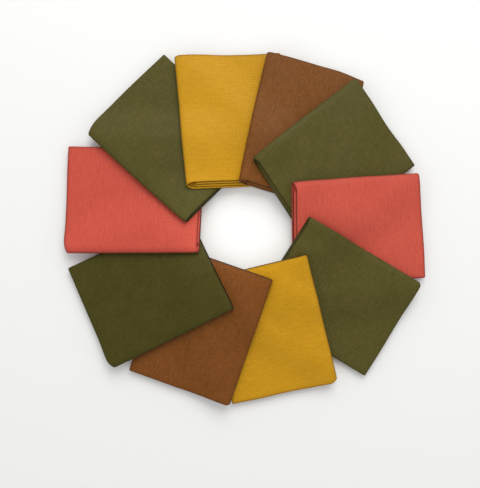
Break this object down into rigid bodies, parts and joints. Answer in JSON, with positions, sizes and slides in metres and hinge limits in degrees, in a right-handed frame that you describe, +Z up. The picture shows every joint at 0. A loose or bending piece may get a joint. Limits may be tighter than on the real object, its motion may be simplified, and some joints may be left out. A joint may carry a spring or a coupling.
{
  "type": "ring of folded fat quarter cloths",
  "caption": "Folded cotton fat quarters in olive, mustard, brown and coral, fanned flat into an overlapping ring round an open middle.",
  "frame": {"origin": "middle of the ring's bounding box, on the surface it lies on", "axes": "+Z is up, out of the ring's flat side; +X is the picture's right and +Y the picture's top, seen from straight above"},
  "size_m": [0.3841, 0.3745, 0.0318],
  "materials": {
    "olive_cotton": "matt plain weave",
    "mustard_cotton": "matt plain weave",
    "brown_cotton": "matt plain weave",
    "coral_cotton": "matt plain weave"
  },
  "bodies": {
    "root": {"fat_quarter_01": "olive_cotton", "fat_quarter_02": "mustard_cotton", "fat_quarter_03": "brown_cotton", "fat_quarter_04": "olive_cotton", "fat_quarter_05": "coral_cotton", "fat_quarter_06": "olive_cotton", "fat_quarter_07": "mustard_cotton", "fat_quarter_08": "brown_cotton", "fat_quarter_09": "olive_cotton", "fat_quarter_10": "coral_cotton"}
  },
  "joints": []
}
